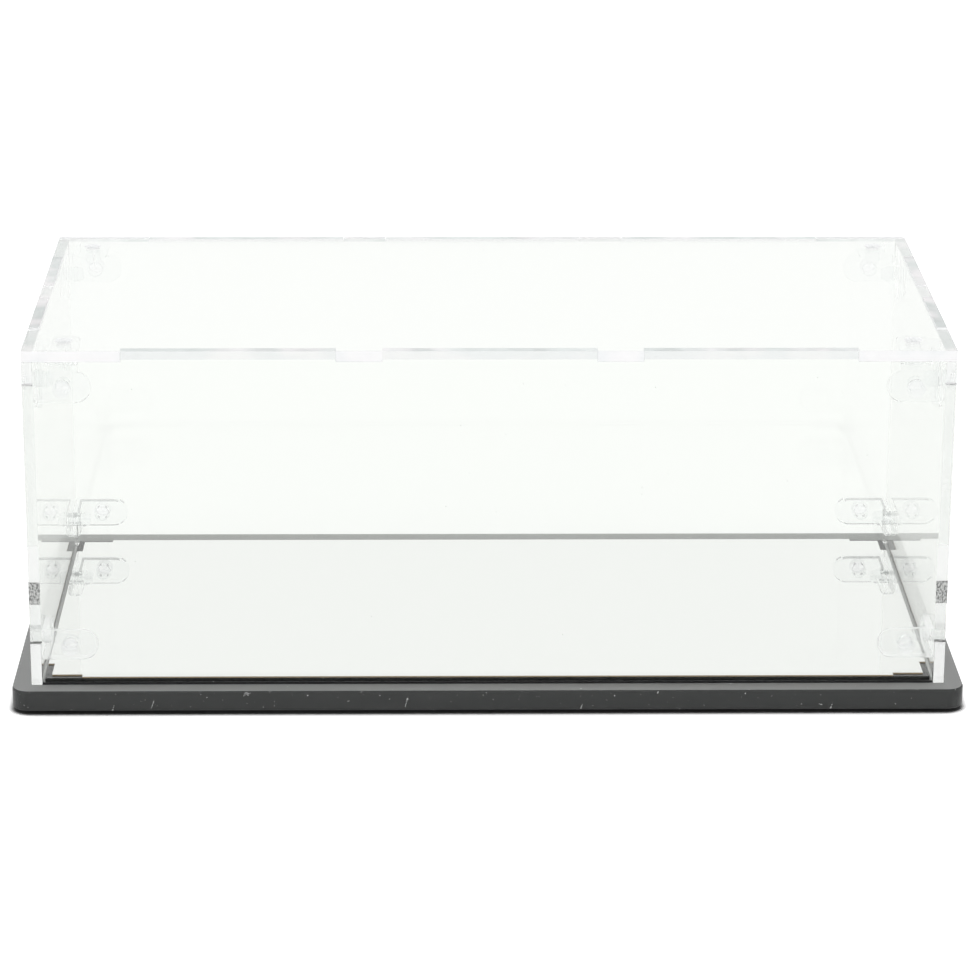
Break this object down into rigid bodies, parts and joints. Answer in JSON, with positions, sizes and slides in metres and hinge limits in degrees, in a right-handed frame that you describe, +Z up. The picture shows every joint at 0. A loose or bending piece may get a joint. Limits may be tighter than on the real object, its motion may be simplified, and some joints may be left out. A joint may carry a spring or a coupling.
{
  "type": "display case",
  "caption": "Clear acrylic display case for a scale model: a lift-off finger-jointed cover on corner connectors stands on a black base plate round a mirror-topped plinth.",
  "frame": {"origin": "centre of the footprint, on the surface that the feet stand on", "axes": "+X to the right along the long side seen from the front, +Y to the rear, +Z up; the front panel faces -Y"},
  "size_m": [0.271, 0.1386, 0.1058],
  "materials": {
    "base_plate": "satin black cast sheet with fine dust and light scratches",
    "plinth_plate": "gloss black sheet",
    "mirror_sheet": "silvered mirror with a brown backing at the cut edge",
    "foot_rubber": "soft black pad",
    "clear_sheet": "clear polished acrylic sheet with laser-cut edges",
    "clear_connector": "clear injection-moulded plastic",
    "clear_rivet": "clear injection-moulded plastic"
  },
  "bodies": {
    "base": {"base_plate": "base_plate", "plinth_plate": "plinth_plate", "mirror_sheet": "mirror_sheet", "foot_front_left": "foot_rubber", "foot_front_right": "foot_rubber", "foot_rear_left": "foot_rubber", "foot_rear_right": "foot_rubber"},
    "cover": {"front_panel": "clear_sheet", "rear_panel": "clear_sheet", "left_panel": "clear_sheet", "right_panel": "clear_sheet", "top_panel": "clear_sheet", "top_connector_front_left": "clear_connector", "top_connector_front_right": "clear_connector", "top_connector_rear_left": "clear_connector", "top_connector_rear_right": "clear_connector", "lower_connector_front_left": "clear_connector", "lower_connector_front_right": "clear_connector", "lower_connector_rear_left": "clear_connector", "lower_connector_rear_right": "clear_connector", "top_rivets_front_left": "clear_rivet", "top_rivets_front_right": "clear_rivet", "top_rivets_rear_left": "clear_rivet", "top_rivets_rear_right": "clear_rivet", "lower_rivets_front_left": "clear_rivet", "lower_rivets_front_right": "clear_rivet", "lower_rivets_rear_left": "clear_rivet", "lower_rivets_rear_right": "clear_rivet"}
  },
  "joints": [
    {"name": "cover_lift", "type": "slide", "parent": "base", "child": "cover", "axis": [0, 0, 1], "range_m": [0, 0.12]}
  ]
}
